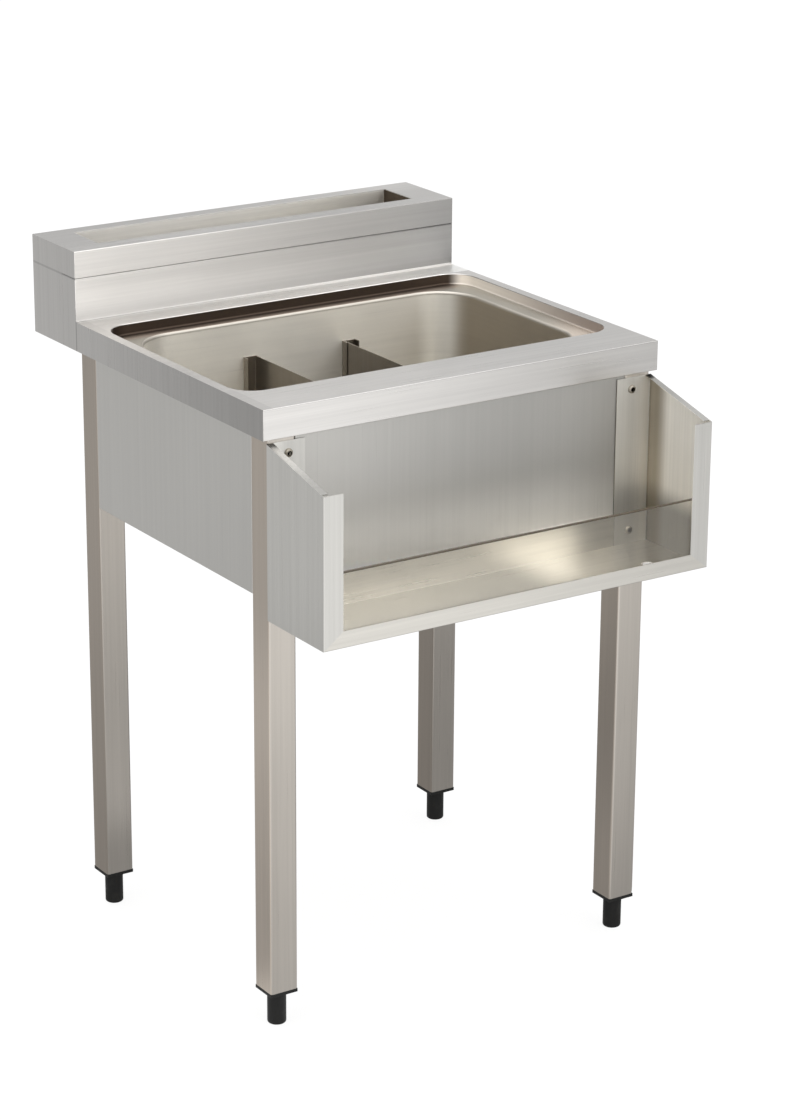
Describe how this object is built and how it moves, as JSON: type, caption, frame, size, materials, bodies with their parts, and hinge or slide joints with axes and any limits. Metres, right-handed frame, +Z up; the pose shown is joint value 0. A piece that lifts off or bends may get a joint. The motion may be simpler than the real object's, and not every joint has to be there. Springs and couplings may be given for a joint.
{
  "type": "bar sink with ice bin",
  "caption": "Free-standing steel bar station: worktop with a divided ice bowl, rear trough box, square legs on screw feet and a front bottle rail with a clear retainer.",
  "frame": {"origin": "on the floor, at the middle of the footprint (bottle rail front to rear box back)", "axes": "+X to the user's right when facing the bottle rail, +Y from front to back, +Z up"},
  "size_m": [0.6, 0.727, 0.935],
  "materials": {
    "brushed_sheet": "brushed along X",
    "bowl_sheet": "satin",
    "plain_sheet": "mill finish",
    "skirt_sheet": "brushed along Z",
    "leg_tube": "brushed along Z",
    "rail_sheet": "brushed",
    "waste_metal": "polished",
    "fastener": "machined",
    "black_plastic": "moulded black",
    "pipe_plastic": "moulded white",
    "gasket": "black rubber",
    "foam": "rigid foam",
    "clear_sheet": "clear bronze-tinted acrylic"
  },
  "bodies": {
    "frame": {"worktop": "brushed_sheet", "front_stiffener": "plain_sheet", "rear_stiffener": "plain_sheet", "ice_bowl": "bowl_sheet", "foam_jacket": "foam", "divider_guides": "bowl_sheet", "waste_body": "waste_metal", "waste_strainer": "waste_metal", "strainer_screw": "waste_metal", "waste_gasket": "gasket", "waste_lock_nut": "pipe_plastic", "tail_pipe": "pipe_plastic", "tail_nut": "pipe_plastic", "box_shell": "brushed_sheet", "rear_trough": "bowl_sheet", "box_base": "plain_sheet", "box_brackets": "plain_sheet", "skirt_left": "skirt_sheet", "skirt_right": "skirt_sheet", "skirt_front": "skirt_sheet", "skirt_rear": "skirt_sheet", "leg_front_left": "leg_tube", "leg_front_right": "leg_tube", "leg_rear_left": "leg_tube", "leg_rear_right": "leg_tube", "leg_inserts": "black_plastic", "rail_tray": "rail_sheet", "rail_end_left": "rail_sheet", "rail_end_right": "rail_sheet", "retainer_lugs": "rail_sheet", "rail_screws": "fastener", "rail_nuts": "fastener"},
    "left_divider": {"divider_left": "bowl_sheet"},
    "right_divider": {"divider_right": "bowl_sheet"},
    "left_drain_plate": {"drain_plate_left": "bowl_sheet"},
    "middle_drain_plate": {"drain_plate_middle": "bowl_sheet"},
    "right_drain_plate": {"drain_plate_right": "bowl_sheet"},
    "retainer": {"rail_retainer": "clear_sheet"},
    "front_left_foot": {"foot_front_left": "black_plastic", "stud_front_left": "fastener"},
    "front_right_foot": {"foot_front_right": "black_plastic", "stud_front_right": "fastener"},
    "rear_left_foot": {"foot_rear_left": "black_plastic", "stud_rear_left": "fastener"},
    "rear_right_foot": {"foot_rear_right": "black_plastic", "stud_rear_right": "fastener"}
  },
  "joints": [
    {"name": "divider_left_lift", "type": "slide", "parent": "frame", "child": "left_divider", "axis": [0, 0, 1], "range_m": [0, 0.22]},
    {"name": "divider_right_lift", "type": "slide", "parent": "frame", "child": "right_divider", "axis": [0, 0, 1], "range_m": [0, 0.22]},
    {"name": "drain_plate_left_lift", "type": "slide", "parent": "frame", "child": "left_drain_plate", "axis": [0, 0, 1], "range_m": [0, 0.24]},
    {"name": "drain_plate_middle_lift", "type": "slide", "parent": "frame", "child": "middle_drain_plate", "axis": [0, 0, 1], "range_m": [0, 0.24]},
    {"name": "drain_plate_right_lift", "type": "slide", "parent": "frame", "child": "right_drain_plate", "axis": [0, 0, 1], "range_m": [0, 0.24]},
    {"name": "retainer_lift", "type": "slide", "parent": "frame", "child": "retainer", "axis": [0, 0, 1], "range_m": [0, 0.2]},
    {"name": "foot_front_left_height", "type": "slide", "parent": "frame", "child": "front_left_foot", "axis": [0, 0, 1], "range_m": [-0.03, 0]},
    {"name": "foot_front_right_height", "type": "slide", "parent": "frame", "child": "front_right_foot", "axis": [0, 0, 1], "range_m": [-0.03, 0]},
    {"name": "foot_rear_left_height", "type": "slide", "parent": "frame", "child": "rear_left_foot", "axis": [0, 0, 1], "range_m": [-0.03, 0]},
    {"name": "foot_rear_right_height", "type": "slide", "parent": "frame", "child": "rear_right_foot", "axis": [0, 0, 1], "range_m": [-0.03, 0]}
  ]
}
